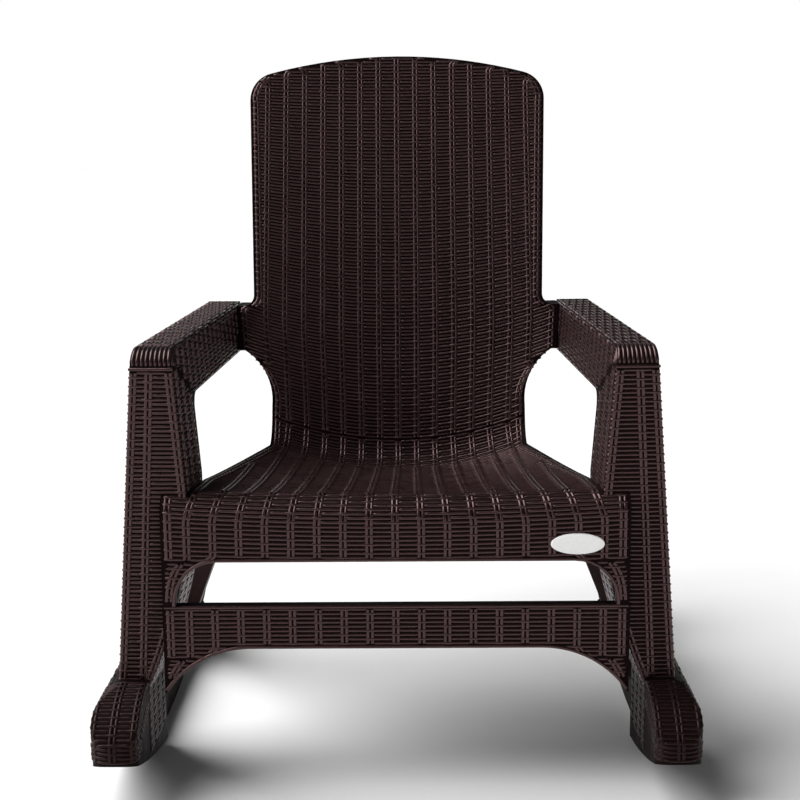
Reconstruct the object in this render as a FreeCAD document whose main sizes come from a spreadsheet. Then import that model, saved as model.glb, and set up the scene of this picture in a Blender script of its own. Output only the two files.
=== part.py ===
import FreeCAD, Part
import math
import os
import Sketcher

# Rocking chair moulded in plastic with a woven look.
# Millimetres, +Z up, the sitter faces -Y, X = 0 is the plane of symmetry.
# Z = 0 is the floor and Y = 0 is the line where the rockers touch it.

doc = FreeCAD.newDocument("rocking_chair")
sheet = doc.addObject("Spreadsheet::Sheet", "Sizes")

DRIVING = {
    # whole chair
    "front_to_contact": 264.0,
    "wall": 4.0,
    "fit_gap": 0.4,
    "trim_margin": 12.0,
    # seat and back shell
    "seat_height": 380.0,
    "seat_depth": 463.0,
    "seat_slope": 7.8,
    "seat_turn": 1.75,
    "waterfall_radius": 30.0,
    "bend_radius": 50.0,
    "recline": 18.3,
    "back_top": 934.0,
    "back_wrap": 13.7,
    "dish": 10.0,
    "side_slope": -3.0,
    "side_turn": 8.3,
    "side_bend_radius": 60.0,
    "rim_depth": 22.0,
    "rib_pitch": 100.0,
    "apron_half": 288.0,
    "apron_proud": 16.0,
    "waist_half": 193.0,
    "waist_drop": 82.0,
    "waist_bow": 13.0,
    "back_low_half": 222.0,
    "back_top_half": 232.0,
    "crown_rise": 35.0,
    "crown_corner": 42.0,
    "ear_inset": 3.0,
    "ear_corner": 16.0,
    "ear_flat": 8.0,
    "ear_clearance": 2.0,
    "lug_width": 34.0,
    "lug_depth": 8.0,
    "slot_half": 272.0,
    "slot_height": 56.0,
    "slot_corner": 52.0,
    # side frames, each an arm and a front leg
    "frame_half": 295.0,
    "frame_toe": 2.4,
    "arm_top": 556.0,
    "arm_width": 48.0,
    "arm_depth": 72.0,
    "arm_overhang": 35.8,
    "arm_corner": 24.0,
    "arm_armpit": 22.0,
    "leg_depth": 110.0,
    "leg_bulge": 14.0,
    "leg_bow": 18.0,
    "foot_height": 100.0,
    "foot_inner": 30.0,
    "foot_width": 27.0,
    "foot_plug": 14.0,
    # front stretcher
    "stretcher_half": 289.0,
    "stretcher_top": 238.0,
    "stretcher_height": 56.0,
    "stretcher_setback": 2.0,
    "stretcher_arch": 129.0,
    "arch_reach": 108.4,
    # rear legs
    "rear_foot_height": 60.0,
    "rear_foot_setback": 455.0,
    "rear_top_setback": 322.0,
    "rear_depth": 72.0,
    "rear_inner": 327.0,
    "rear_width": 36.0,
    "rear_splay": 21.8,
    "flange_inner": 120.0,
    "flange_thickness": 9.0,
    "gusset_height": 60.0,
    # rockers
    "rocker_radius": 1050.0,
    "toe_overhang": 100.0,
    "tail_reach": 430.0,
    "rocker_outer": 369.0,
    "rail_width": 40.0,
    "rail_height": 45.0,
    "rail_end": 30.0,
    "rail_round": 12.0,
    "boot_top": 137.0,
    "boot_inner": 312.0,
    "boot_tip_height": 24.0,
    "boot_lip": 10.0,
    "boot_instep": 14.0,
    "boot_round": 24.0,
    "boot_inner_round": 17.0,
    "boot_shelf": 5.0,
    "rear_boot_top": 67.0,
    # fasteners and label
    "screw_radius": 2.5,
    "screw_head_radius": 5.0,
    "screw_head": 3.5,
    "screw_length": 15.0,
    "screw_edge": 15.0,
    "boss_radius": 6.5,
    "label_half_width": 33.0,
    "label_half_height": 13.0,
    "label_offset": 223.0,
    "label_rise": 22.0,
    "label_thickness": 2.0,
    "label_gap": 0.1,
}


class Size:
    """A number kept together with the sheet formula that gives it."""

    def __init__(self, value, formula):
        self.value = value
        self.formula = formula

    def __add__(self, other):
        other = as_size(other)
        return Size(self.value + other.value, f"({self.formula} + {other.formula})")

    def __sub__(self, other):
        other = as_size(other)
        return Size(self.value - other.value, f"({self.formula} - {other.formula})")

    def __mul__(self, other):
        other = as_size(other)
        return Size(self.value * other.value, f"({self.formula} * {other.formula})")

    def __truediv__(self, other):
        other = as_size(other)
        return Size(self.value / other.value, f"({self.formula} / {other.formula})")

    def __neg__(self):
        return Size(-self.value, f"(0 - {self.formula})")

    def __radd__(self, other):
        return as_size(other) + self

    def __rsub__(self, other):
        return as_size(other) - self

    def __rmul__(self, other):
        return as_size(other) * self


def as_size(thing):
    if isinstance(thing, Size):
        return thing
    return Size(float(thing), repr(float(thing)))


def sine(angle):
    return Size(math.sin(math.radians(angle.value)), f"sin({angle.formula})")


def cosine(angle):
    return Size(math.cos(math.radians(angle.value)), f"cos({angle.formula})")


def tangent(angle):
    return Size(math.tan(math.radians(angle.value)), f"tan({angle.formula})")


def root(number):
    return Size(math.sqrt(number.value), f"sqrt({number.formula})")


def fill_sheet():
    sizes = {}
    for row, (name, value) in enumerate(DRIVING.items(), start=1):
        cell = f"A{row}"
        sheet.set(cell, str(value))
        sheet.setAlias(cell, name)
        sizes[name] = Size(value, f"Sizes.{name}")
    doc.recompute()
    return sizes


S = fill_sheet()
WALL = S["wall"]
GAP = S["fit_gap"]
FRONT = -S["front_to_contact"]
TOE = S["frame_toe"]
EDGE = S["screw_edge"]
BORE = S["screw_radius"] + GAP
# How far blanks and cutters run past what they trim, and the length of those that pass right through.
MARGIN = S["trim_margin"]
THROUGH = S["back_top"]

# How a point (first, second) of an outline lies in space on each plane.
AXES = {"XY_Plane": (0, 1, 2), "XZ_Plane": (0, 2, 1), "YZ_Plane": (1, 2, 0)}


def bind(thing, path, size):
    thing.setExpression(path, as_size(size).formula)


def add_outline(sketch, outline):
    """Draws a closed outline of (first, second) or (first, second, rise) corners.
    The rise bows the edge to the next corner out to the left by that much."""
    corners = [(as_size(c[0]), as_size(c[1]), c[2] if len(c) > 2 else None) for c in outline]
    for number, (first, second, rise) in enumerate(corners):
        next_first, next_second, _ = corners[(number + 1) % len(corners)]
        start = FreeCAD.Vector(first.value, second.value, 0)
        end = FreeCAD.Vector(next_first.value, next_second.value, 0)
        if rise is None:
            sketch.addGeometry(Part.LineSegment(start, end))
        else:
            run = end - start
            left = FreeCAD.Vector(-run.y, run.x, 0).normalize()
            middle = (start + end) * 0.5 + left * rise.value
            if rise.value > 0:
                start, end = end, start
            sketch.addGeometry(Part.ArcOfCircle(start, middle, end))
    count = len(corners)
    # An edge that bows to the left is drawn backwards, so that every arc turns the same way.
    ends = [(2, 1) if rise is not None and rise.value > 0 else (1, 2) for _, _, rise in corners]
    for number in range(count):
        here = ends[number]
        after_number = (number + 1) % count
        after = ends[after_number]
        sketch.addConstraint(Sketcher.Constraint("Coincident", number, here[1], after_number, after[0]))
    for number, (first, second, rise) in enumerate(corners):
        start = ends[number][0]
        for kind, size in (("DistanceX", first), ("DistanceY", second)):
            index = sketch.addConstraint(Sketcher.Constraint(kind, -1, 1, number, start, size.value))
            bind(sketch, f"Constraints[{index}]", size)
        if rise is not None:
            next_first, next_second, _ = corners[(number + 1) % count]
            across = next_first - first
            along = next_second - second
            bow = rise if rise.value > 0 else -rise
            radius = (across * across + along * along) / (8 * bow) + bow / 2
            index = sketch.addConstraint(Sketcher.Constraint("Radius", number, radius.value))
            bind(sketch, f"Constraints[{index}]", radius)


def outline_sketch(body, name, role, start, outline):
    sketch = body.newObject("Sketcher::SketchObject", name)
    plane = [feature for feature in body.Origin.OriginFeatures if feature.Role == role][0]
    sketch.AttachmentSupport = [(plane, "")]
    sketch.MapMode = "FlatFace"
    start = as_size(start)
    bind(sketch, "AttachmentOffset.Base.z", -start if role == "XZ_Plane" else start)
    add_outline(sketch, outline)
    return sketch


def prism(name, role, start, depth, outline, rounds=(), in_frame=False):
    """An outline pulled from start by depth along the positive axis across its plane.
    rounds lists (corner number, radius) for the corners to round."""
    body = doc.addObject("PartDesign::Body", name)
    sketch = outline_sketch(body, name + "_outline", role, start, outline)
    pad = body.newObject("PartDesign::Pad", name + "_pad")
    pad.Profile = sketch
    pad.Reversed = role == "XZ_Plane"
    bind(pad, "Length", depth)
    doc.recompute()
    for number, (corner, radius) in enumerate(rounds):
        round_corner(body, f"{name}_round{number}", role, outline[corner], radius)
    if in_frame:
        put_in_frame(body)
    doc.recompute()
    return body


def round_corner(body, name, role, corner, radius):
    first_axis, second_axis, _ = AXES[role]
    wanted = (as_size(corner[0]).value, as_size(corner[1]).value)
    tip = body.Tip
    found = []
    for number, edge in enumerate(tip.Shape.Edges, start=1):
        places = [(v.Point[first_axis], v.Point[second_axis]) for v in edge.Vertexes]
        if len(places) == 2 and all(math.dist(place, wanted) < 1e-4 for place in places):
            found.append(f"Edge{number}")
    fillet = body.newObject("PartDesign::Fillet", name)
    fillet.Base = (tip, found)
    bind(fillet, "Radius", radius)
    doc.recompute()


def put_in_frame(thing):
    """Moves a piece drawn along its own arm to the toed-in place of the right side frame."""
    bind(thing, "Placement.Base.x", S["frame_half"])
    bind(thing, "Placement.Base.y", FRONT)
    bind(thing, "Placement.Rotation.Angle", TOE)


def cylinder(name, axis, point, radius, height, in_frame=False):
    """A round pin from a point along one of the ways listed here."""
    turns = {
        "-X": FreeCAD.Rotation(FreeCAD.Vector(0, 1, 0), -90),
        "-Y": FreeCAD.Rotation(FreeCAD.Vector(1, 0, 0), 90),
        "Z": FreeCAD.Rotation(),
    }
    pin = doc.addObject("Part::Cylinder", name)
    bind(pin, "Radius", radius)
    bind(pin, "Height", height)
    pin.Placement = FreeCAD.Placement(FreeCAD.Vector(), turns[axis])
    if in_frame:
        point = frame_point(*point)
        toed = FreeCAD.Rotation(FreeCAD.Vector(0, 0, 1), TOE.value)
        pin.Placement = FreeCAD.Placement(FreeCAD.Vector(), toed.multiply(turns[axis]))
    for letter, size in zip("xyz", point):
        bind(pin, f"Placement.Base.{letter}", size)
    return pin


def frame_point(across, along, up):
    """The place in the chair of a point given along the toed-in right arm."""
    x = S["frame_half"] + as_size(across) * cosine(TOE) - as_size(along) * sine(TOE)
    y = FRONT + as_size(across) * sine(TOE) + as_size(along) * cosine(TOE)
    return x, y, as_size(up)


def joined(name, *things):
    fusion = doc.addObject("Part::MultiFuse", name)
    fusion.Shapes = list(things)
    doc.recompute()
    return fusion


def shared(name, *things):
    common = doc.addObject("Part::MultiCommon", name)
    common.Shapes = list(things)
    doc.recompute()
    return common


def without(name, base, *tools):
    tool = tools[0] if len(tools) == 1 else joined(name + "_tools", *tools)
    result = doc.addObject("Part::Cut", name)
    result.Base = base
    result.Tool = tool
    doc.recompute()
    return result


def mirrored(name, thing):
    copy = doc.addObject("Part::Mirroring", name)
    copy.Source = thing
    copy.Normal = FreeCAD.Vector(1, 0, 0)
    doc.recompute()
    return copy


def both_sides(name, thing):
    return joined(name, thing, mirrored(name + "_mirrored", thing))


def symmetric(right_half):
    """Closes a right half, drawn with the inside on its left, into a whole outline."""
    left_half = []
    for number in range(len(right_half) - 1, -1, -1):
        corner = right_half[number]
        before = right_half[number - 1] if number > 0 else None
        place = (-as_size(corner[0]), corner[1])
        if before is not None and len(before) > 2:
            place = place + (before[2],)
        left_half.append(place)
    return list(right_half) + left_half


def box_outline(low_first, low_second, high_first, high_second):
    return [
        (low_first, low_second),
        (high_first, low_second),
        (high_first, high_second),
        (low_first, high_second),
    ]


# Seat and back shell: a curved sheet that runs up the apron, over the seat and up the back.
# Its middle and its sides have their own profiles, and the seat is hollow both ways.

MIDDLE, SIDE = 0, 1
SIDE_LIFT = (as_size(0), S["dish"])
SIDE_WRAP = (as_size(0), S["back_wrap"])
SEAT_SLOPE = (S["seat_slope"], S["side_slope"])
SEAT_TURN = (S["seat_turn"], S["side_turn"])
BEND_RADIUS = (S["bend_radius"], S["side_bend_radius"])
RECLINE = S["recline"]
APRON_FACE = FRONT - S["apron_proud"]
SHEET_HALF = S["apron_half"] + MARGIN
APRON_BOTTOM = S["stretcher_top"] + GAP
SHEET_END = S["back_top"] + MARGIN
SLOT_TOP = S["stretcher_top"] + S["slot_height"]


def waterfall_centre(section):
    return (APRON_FACE + S["waterfall_radius"],
            S["seat_height"] - S["dish"] + SIDE_LIFT[section] - S["waterfall_radius"])


def seat_start(section, behind):
    """Where the waterfall edge runs into the seat, at some distance behind the sitting face."""
    centre_y, centre_z = waterfall_centre(section)
    fall = S["waterfall_radius"] - behind
    slope = SEAT_SLOPE[section] + SEAT_TURN[section]
    return centre_y + fall * sine(slope), centre_z + fall * cosine(slope)


def seat_run(section):
    """Length of the seat's chord, such that the bend behind it just touches the straight back."""
    start_y, start_z = seat_start(section, 0)
    slope = SEAT_SLOPE[section]
    end_slope = slope - SEAT_TURN[section]
    radius = BEND_RADIUS[section]
    rise = start_z + radius * cosine(end_slope) - S["seat_height"]
    back_face = APRON_FACE + S["seat_depth"] - SIDE_WRAP[section] + rise * tangent(RECLINE)
    room = back_face - radius / cosine(RECLINE) - radius * sine(end_slope) - start_y
    return room / (cosine(slope) + tangent(RECLINE) * sine(slope))


def bend_centre(section):
    start_y, start_z = seat_start(section, 0)
    run = seat_run(section)
    slope = SEAT_SLOPE[section]
    end_slope = slope - SEAT_TURN[section]
    radius = BEND_RADIUS[section]
    return (start_y + run * cosine(slope) + radius * sine(end_slope),
            start_z - run * sine(slope) + radius * cosine(end_slope))


def seat_face(across, along):
    """About how high the sitting face lies at a place of the seat."""
    heights = []
    for section in (MIDDLE, SIDE):
        start_y, start_z = seat_start(section, 0)
        heights.append(start_z - (along - start_y) * tangent(SEAT_SLOPE[section]))
    share = across / SHEET_HALF
    return heights[MIDDLE] + (heights[SIDE] - heights[MIDDLE]) * share * share


def back_line(section, behind):
    """The lowest point of the straight back at some distance behind its front face."""
    bend_y, bend_z = bend_centre(section)
    radius = BEND_RADIUS[section] + behind
    return bend_y + radius * cosine(RECLINE), bend_z - radius * sine(RECLINE)


def back_y(height, section, behind):
    low_y, low_z = back_line(section, behind)
    return low_y + (height - low_z) * tangent(RECLINE)


def sheet_profile(section, near, far, bottom):
    """The sheet seen from the side, between two distances behind its sitting face."""
    bend_y, bend_z = bend_centre(section)
    turn = SEAT_TURN[section]
    end_slope = SEAT_SLOPE[section] - turn
    waterfall_half_turn = (90 + SEAT_SLOPE[section] + turn) / 2
    bend_half_turn = (90 - RECLINE + end_slope) / 2
    hollow_radius = seat_run(section) / (2 * sine(turn))

    def side(behind):
        fall = S["waterfall_radius"] - behind
        hollow = hollow_radius + behind
        bend = BEND_RADIUS[section] + behind
        return [
            (APRON_FACE + behind, bottom),
            (APRON_FACE + behind, waterfall_centre(section)[1], fall * (1 - cosine(waterfall_half_turn))),
            (*seat_start(section, behind), -hollow * (1 - cosine(turn))),
            (bend_y - bend * sine(end_slope), bend_z - bend * cosine(end_slope),
             -bend * (1 - cosine(bend_half_turn))),
            back_line(section, behind),
            (back_y(SHEET_END, section, behind), SHEET_END),
        ]

    front = side(near)
    rear = side(far)
    # The rear face is drawn backwards, so each of its bows goes with the other end and the other way.
    bows = [None] + [-corner[2] if len(corner) > 2 else None for corner in rear[:-1]]
    backwards = []
    for corner, bow in zip(rear, bows):
        backwards.insert(0, corner[:2] if bow is None else (*corner[:2], bow))
    return front + backwards


def curved_sheet(name, near, far, bottom):
    """The sheet across the whole width, dished so that its middle lies lower than its sides."""
    body = doc.addObject("PartDesign::Body", name)
    sections = []
    for number, (place, section) in enumerate(((SHEET_HALF, SIDE), (0, MIDDLE), (-SHEET_HALF, SIDE))):
        profile = sheet_profile(section, as_size(near), as_size(far), bottom)
        sections.append(outline_sketch(body, f"{name}_section{number}", "YZ_Plane", place, profile))
    loft = body.newObject("PartDesign::AdditiveLoft", name + "_loft")
    loft.Profile = sections[0]
    loft.Sections = sections[1:]
    doc.recompute()
    return body


# The back's outline meets the arms at ears, and narrows below them to the waist.
EAR_TOP = S["arm_top"] - S["ear_inset"]
EAR_BOTTOM = S["arm_top"] - S["arm_depth"] + S["ear_inset"]
# The arms run past the back's front face, so that its ears meet them.
ARM_LENGTH = back_y(EAR_TOP, MIDDLE, 0) - FRONT + S["arm_overhang"]
ARM_DRAFT = S["leg_bulge"] / (S["arm_top"] - S["seat_height"])


def arm_inner(height):
    """Distance of the arm's inner face from the arm's middle line, at a height."""
    return S["arm_width"] / 2 + (S["arm_top"] - height) * ARM_DRAFT


def leg_inner(height):
    """Place across the side frame of the leg's bowed inner face, at a height below the seat."""
    across = S["foot_inner"] + arm_inner(S["seat_height"])
    drop = S["seat_height"] - S["foot_height"]
    chord = root(across * across + drop * drop)
    radius = chord * chord / (8 * S["leg_bow"]) + S["leg_bow"] / 2
    stand_off = radius - S["leg_bow"]
    centre_across = S["foot_inner"] - across / 2 + stand_off * drop / chord
    above_centre = height - S["foot_height"] - drop / 2 - stand_off * across / chord
    return centre_across - root(radius * radius - above_centre * above_centre)


def ear_half(height):
    reach = back_y(height, SIDE, S["rim_depth"]) - FRONT
    return S["frame_half"] - arm_inner(height) - reach * tangent(TOE) - S["ear_clearance"]


def back_region(name, inset):
    """What the front outline of the back keeps, seen from the front."""
    right_half = [
        (S["waist_half"] - inset, S["stretcher_top"]),
        (S["waist_half"] - inset, EAR_BOTTOM - S["waist_drop"], S["waist_bow"]),
        (ear_half(EAR_BOTTOM) - S["ear_flat"] - inset, EAR_BOTTOM + inset),
        (ear_half(EAR_BOTTOM) - inset, EAR_BOTTOM + inset),
        (ear_half(EAR_TOP) - inset, EAR_TOP - inset),
        (S["back_low_half"] - inset, EAR_TOP - inset),
        (S["back_top_half"] - inset, S["back_top"] - S["crown_rise"] - inset, -S["crown_rise"]),
    ]
    crown_right = len(right_half) - 1
    rounds = [
        (crown_right, S["crown_corner"]),
        (crown_right + 1, S["crown_corner"]),
        (crown_right - 1, S["ear_corner"]),
        (crown_right + 2, S["ear_corner"]),
    ]
    return prism(name, "XZ_Plane", bend_centre(MIDDLE)[0], THROUGH, symmetric(right_half), rounds)


def seat_region(name, inset):
    """What the plan outline of the seat and apron keeps, seen from above."""
    leg_side = S["frame_half"] - arm_inner(S["seat_height"]) - GAP * 2
    leg_rear = S["leg_depth"] + GAP
    bend_y = bend_centre(MIDDLE)[0]
    right_half = [
        (S["apron_half"] - inset, APRON_FACE - MARGIN),
        (S["apron_half"] - inset, FRONT - GAP - inset),
        (leg_side - inset, FRONT - GAP - inset),
        (leg_side - leg_rear * tangent(TOE) - inset, FRONT + leg_rear),
        (S["waist_half"] - inset, bend_y + S["bend_radius"] / 4),
        (S["waist_half"] - inset, bend_y + S["bend_radius"] * 2),
    ]
    return prism(name, "XY_Plane", 0, S["seat_height"] + MARGIN, symmetric(right_half))


def slot_cutter(name, inset):
    """The opening between the apron and the front stretcher, with rounded upper corners."""
    half = S["slot_half"] + inset
    right_half = [(half, S["stretcher_top"] - MARGIN), (half, SLOT_TOP + inset)]
    rounds = [(1, S["slot_corner"]), (2, S["slot_corner"])]
    depth = S["rim_depth"] + MARGIN * 2
    return prism(name, "XZ_Plane", APRON_FACE - MARGIN, depth, symmetric(right_half), rounds)


# Where the fasteners go.
APRON_SCREW_X = (S["apron_half"] + S["frame_half"] - arm_inner(S["seat_height"])) / 2
APRON_SCREW_Z = [SLOT_TOP + EDGE, waterfall_centre(MIDDLE)[1]]
STRETCHER_SCREW_Z = [S["stretcher_top"] - EDGE, S["stretcher_top"] - S["stretcher_height"] + EDGE]
STRETCHER_SCREW_X = S["frame_half"] + leg_inner(STRETCHER_SCREW_Z[0]) - S["screw_head_radius"] - GAP * 2
ARM_SCREW_Y = ARM_LENGTH - EDGE
ARM_SCREW_Z = [EAR_BOTTOM + EDGE, EAR_TOP - EDGE]
FLANGE_TOP = bend_centre(MIDDLE)[1] - S["bend_radius"] - S["rim_depth"] - GAP
FLANGE_FRONT = FRONT + S["rear_top_setback"]
FLANGE_SCREWS = [
    (S["flange_inner"] + EDGE, FLANGE_FRONT + EDGE),
    (S["flange_inner"] + EDGE, FLANGE_FRONT + S["rear_depth"] - EDGE),
    (S["waist_half"] - EDGE * 2, FLANGE_FRONT + S["rear_depth"] / 2),
]
# The two screws in each leg's foot stand at these shares of the leg's depth.
FOOT_SHARES = (0.3, 0.7)


def pins(name, places, axis, radius, length, in_frame=False):
    made = []
    for number, point in enumerate(places):
        made.append(cylinder(f"{name}{number}", axis, point, radius, length, in_frame))
    return made


def apron_places(along):
    return [(APRON_SCREW_X, along, height) for height in APRON_SCREW_Z]


def stretcher_places(along):
    return [(STRETCHER_SCREW_X, along, height) for height in STRETCHER_SCREW_Z]


def arm_places(across):
    return [(across, ARM_SCREW_Y, height) for height in ARM_SCREW_Z]


def flange_places(height):
    return [(across, along, height) for across, along in FLANGE_SCREWS]


def ear_lug():
    """The block behind each ear that the arm's inner wall is screwed to."""
    inside = -arm_inner(EAR_TOP) - S["lug_width"]
    outer = [
        (-arm_inner(EAR_TOP) - GAP, EAR_TOP),
        (inside, EAR_TOP),
        (inside, EAR_BOTTOM),
        (-arm_inner(EAR_BOTTOM) - GAP, EAR_BOTTOM),
    ]
    across = prism("ear_across", "XZ_Plane", 0, THROUGH, outer, in_frame=True)
    lug_rear = FRONT + ARM_LENGTH + S["lug_depth"]

    def lug_front(height):
        return (back_y(height, MIDDLE, WALL / 2) + back_y(height, SIDE, WALL / 2)) / 2

    side = [
        (lug_front(EAR_BOTTOM), EAR_BOTTOM),
        (lug_rear, EAR_BOTTOM),
        (lug_rear, EAR_TOP),
        (lug_front(EAR_TOP), EAR_TOP),
    ]
    depth = prism("ear_side", "YZ_Plane", 0, THROUGH, side)
    return shared("ear_lug", across, depth)


def shell_ribs():
    """Upright ribs behind the sheet, evenly spaced across it."""
    side = box_outline(APRON_FACE - MARGIN, 0, THROUGH, SHEET_END)
    ribs = []
    for number, place in enumerate((-1.5, -0.5, 0.5, 1.5)):
        start = S["rib_pitch"] * place - WALL / 2
        ribs.append(prism(f"shell_rib{number}", "YZ_Plane", start, WALL, side))
    return ribs


def build_shell():
    whole = as_size(0)
    blank = curved_sheet("shell_blank", 0, S["rim_depth"], APRON_BOTTOM)
    keep = joined("shell_keep", back_region("back_keep", whole), seat_region("seat_keep", whole))
    trimmed = shared("shell_trimmed", blank, keep)
    outer = without("shell_outer", trimmed, slot_cutter("shell_slot", whole))

    core = curved_sheet("shell_core", WALL, S["rim_depth"] + WALL, APRON_BOTTOM + WALL)
    core_keep = joined("core_keep", back_region("back_core", WALL), seat_region("seat_core", WALL))
    seat_under = FLANGE_TOP + GAP
    boss = S["boss_radius"]
    apron_bosses = pins("apron_boss", apron_places(FRONT), "-Y", boss, S["apron_proud"] - WALL / 2)
    seat_bosses = pins("seat_boss", flange_places(seat_under), "Z", boss, S["seat_height"] - seat_under)
    kept = both_sides("shell_kept", joined("shell_bosses", *apron_bosses, *seat_bosses))
    core_trimmed = shared("core_trimmed", core, core_keep)
    hollow = without("shell_hollow", core_trimmed, slot_cutter("core_slot", WALL), kept, *shell_ribs())

    # Below the rim each seat boss goes on as a slightly narrower foot down to the flange.
    feet = []
    for number, place in enumerate(flange_places(seat_under)):
        height = seat_face(place[0], place[1]) - S["rim_depth"] / 2 - seat_under
        feet.append(cylinder(f"seat_foot{number}", "Z", place, boss - GAP, height))
    added = both_sides("shell_added", joined("shell_lugs", ear_lug(), *feet))
    filled = joined("shell_filled", without("shell_skin", outer, hollow), added)

    bores = pins("apron_bore", apron_places(FRONT), "-Y", BORE, S["apron_proud"] - WALL)
    arm_bore = S["screw_length"] + WALL
    seat_bore = S["screw_length"] - S["flange_thickness"] + GAP
    bores += pins("arm_bore", arm_places(-S["arm_width"] / 2), "-X", BORE, arm_bore, in_frame=True)
    bores += pins("seat_bore", flange_places(FLANGE_TOP), "Z", BORE, seat_bore)
    return without("shell_body", filled, both_sides("shell_bores", joined("shell_right_bores", *bores)))


# Side frames: arm and front leg in one channel, open below the arm and behind the leg.

def frame_section(name, inset):
    """Width of the arm and leg seen along the arm: widest at the seat, then out to the foot."""
    arm_half = S["arm_width"] / 2 - inset
    foot_inner = S["foot_inner"] + inset
    foot_outer = S["foot_inner"] + S["foot_width"] - inset
    over = S["arm_top"] + MARGIN
    under = S["foot_height"] - MARGIN
    outline = [
        (-arm_half, over),
        (-arm_half, S["arm_top"]),
        (-arm_inner(S["seat_height"]) + inset, S["seat_height"], -S["leg_bow"]),
        (foot_inner, S["foot_height"]),
        (foot_inner, under),
        (foot_outer, under),
        (foot_outer, S["foot_height"]),
        (arm_half, S["arm_top"]),
        (arm_half, over),
    ]
    return prism(name, "XZ_Plane", -MARGIN, ARM_LENGTH + MARGIN * 2, outline, in_frame=True)


def frame_side(name, outline, rounds=()):
    """A side outline of the arm and leg, pulled through its whole width."""
    return prism(name, "YZ_Plane", -THROUGH / 2, THROUGH, outline, rounds, in_frame=True)


def foot_places(height):
    middle = S["foot_inner"] + S["foot_width"] / 2
    return [(middle, S["leg_depth"] * share, height) for share in FOOT_SHARES]


def build_frame():
    arm_bottom = S["arm_top"] - S["arm_depth"]
    side = [
        (0, S["foot_height"]),
        (S["leg_depth"], S["foot_height"]),
        (S["leg_depth"], arm_bottom),
        (ARM_LENGTH, arm_bottom),
        (ARM_LENGTH, S["arm_top"]),
        (0, S["arm_top"]),
    ]
    rounds = [(5, S["arm_corner"]), (2, S["arm_armpit"])]
    width = frame_section("frame_width", as_size(0))
    blank = shared("frame_blank", width, frame_side("frame_side", side, rounds))

    plug_top = S["foot_height"] + S["foot_plug"]
    inside = box_outline(WALL, plug_top, ARM_LENGTH - WALL, S["arm_top"] - WALL)
    inside_rounds = [(3, S["arm_corner"] - WALL)]
    hollow = shared("frame_hollow", frame_section("frame_clear", WALL),
                    frame_side("frame_inside", inside, inside_rounds))

    # The tab beside each leg that the stretcher is screwed to.
    tab = prism("frame_tab", "XZ_Plane", FRONT, WALL, box_outline(
        STRETCHER_SCREW_X - S["screw_head_radius"] * 2,
        S["stretcher_top"] - S["stretcher_height"] + WALL,
        S["stretcher_half"] + EDGE,
        S["stretcher_top"] - WALL,
    ))
    behind_wall = FRONT + WALL * 2
    arm_inside = WALL * 2 - S["arm_width"] / 2
    foot_under = S["foot_height"] - GAP
    bores = pins("frame_apron_bore", apron_places(behind_wall), "-Y", BORE, WALL * 3)
    bores += pins("frame_tab_bore", stretcher_places(behind_wall), "-Y", BORE, WALL * 3)
    bores += pins("frame_arm_bore", arm_places(arm_inside), "-X", BORE, WALL * 5, in_frame=True)
    bores += pins("frame_foot_bore", foot_places(foot_under), "Z", BORE, S["foot_plug"] - GAP, in_frame=True)
    skin = joined("frame_skin", without("frame_channel", blank, hollow), tab)
    return without("frame_body", skin, *bores)


# Front stretcher: a panel with an arched lower edge, open at the rear.

def stretcher_outline(inset):
    top = S["stretcher_top"] - inset
    bottom = top - S["stretcher_height"] + inset * 2
    half = S["stretcher_half"] - inset
    arch = S["stretcher_arch"]
    reach = S["arch_reach"]
    drop = arch - root(arch * arch - reach * reach)
    chord = root(reach * reach + drop * drop)
    rise = arch - root(arch * arch - chord * chord / 4)
    return symmetric([(half - reach, bottom, rise), (half, bottom - drop), (half, top)])


def build_stretcher():
    face = APRON_FACE + S["stretcher_setback"]
    rear = FRONT - GAP
    depth = rear - face
    blank = prism("stretcher_blank", "XZ_Plane", face, depth, stretcher_outline(as_size(0)))
    hollow = prism("stretcher_hollow", "XZ_Plane", face + WALL, depth, stretcher_outline(WALL))
    skin = without("stretcher_skin", blank, hollow)
    bosses = pins("stretcher_boss", stretcher_places(rear), "-Y", S["boss_radius"], depth - WALL / 2)
    bores = pins("stretcher_bore", stretcher_places(rear), "-Y", BORE, depth - WALL)
    all_bosses = both_sides("stretcher_bosses", joined("stretcher_right_bosses", *bosses))
    all_bores = both_sides("stretcher_bores", joined("stretcher_right_bores", *bores))
    return without("stretcher_body", joined("stretcher_filled", skin, all_bosses), all_bores)


# Rear legs: splayed and raked channels, each with a flange under the seat.

REAR_FOOT = S["rear_foot_height"]
KNEE = FLANGE_TOP - S["flange_thickness"]
REAR_LEAN = (S["rear_foot_setback"] - S["rear_top_setback"]) / (KNEE - REAR_FOOT)


def rear_inner_at(height):
    return S["rear_inner"] - (height - REAR_FOOT) * tangent(S["rear_splay"])


def rear_front_at(height):
    return FRONT + S["rear_foot_setback"] - (height - REAR_FOOT) * REAR_LEAN


def rear_post(name, low, high, across_inset, front_inset, rear_inset):
    """The leaning post between two heights, with its sides moved in by the insets."""
    front = [
        (rear_inner_at(low) + across_inset, low),
        (rear_inner_at(low) + S["rear_width"] - across_inset, low),
        (rear_inner_at(high) + S["rear_width"] - across_inset, high),
        (rear_inner_at(high) + across_inset, high),
    ]
    side = [
        (rear_front_at(low) + front_inset, low),
        (rear_front_at(low) + S["rear_depth"] - rear_inset, low),
        (rear_front_at(high) + S["rear_depth"] - rear_inset, high),
        (rear_front_at(high) + front_inset, high),
    ]
    return shared(name, prism(name + "_front", "XZ_Plane", FRONT, THROUGH, front),
                  prism(name + "_side", "YZ_Plane", 0, THROUGH, side))


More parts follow.
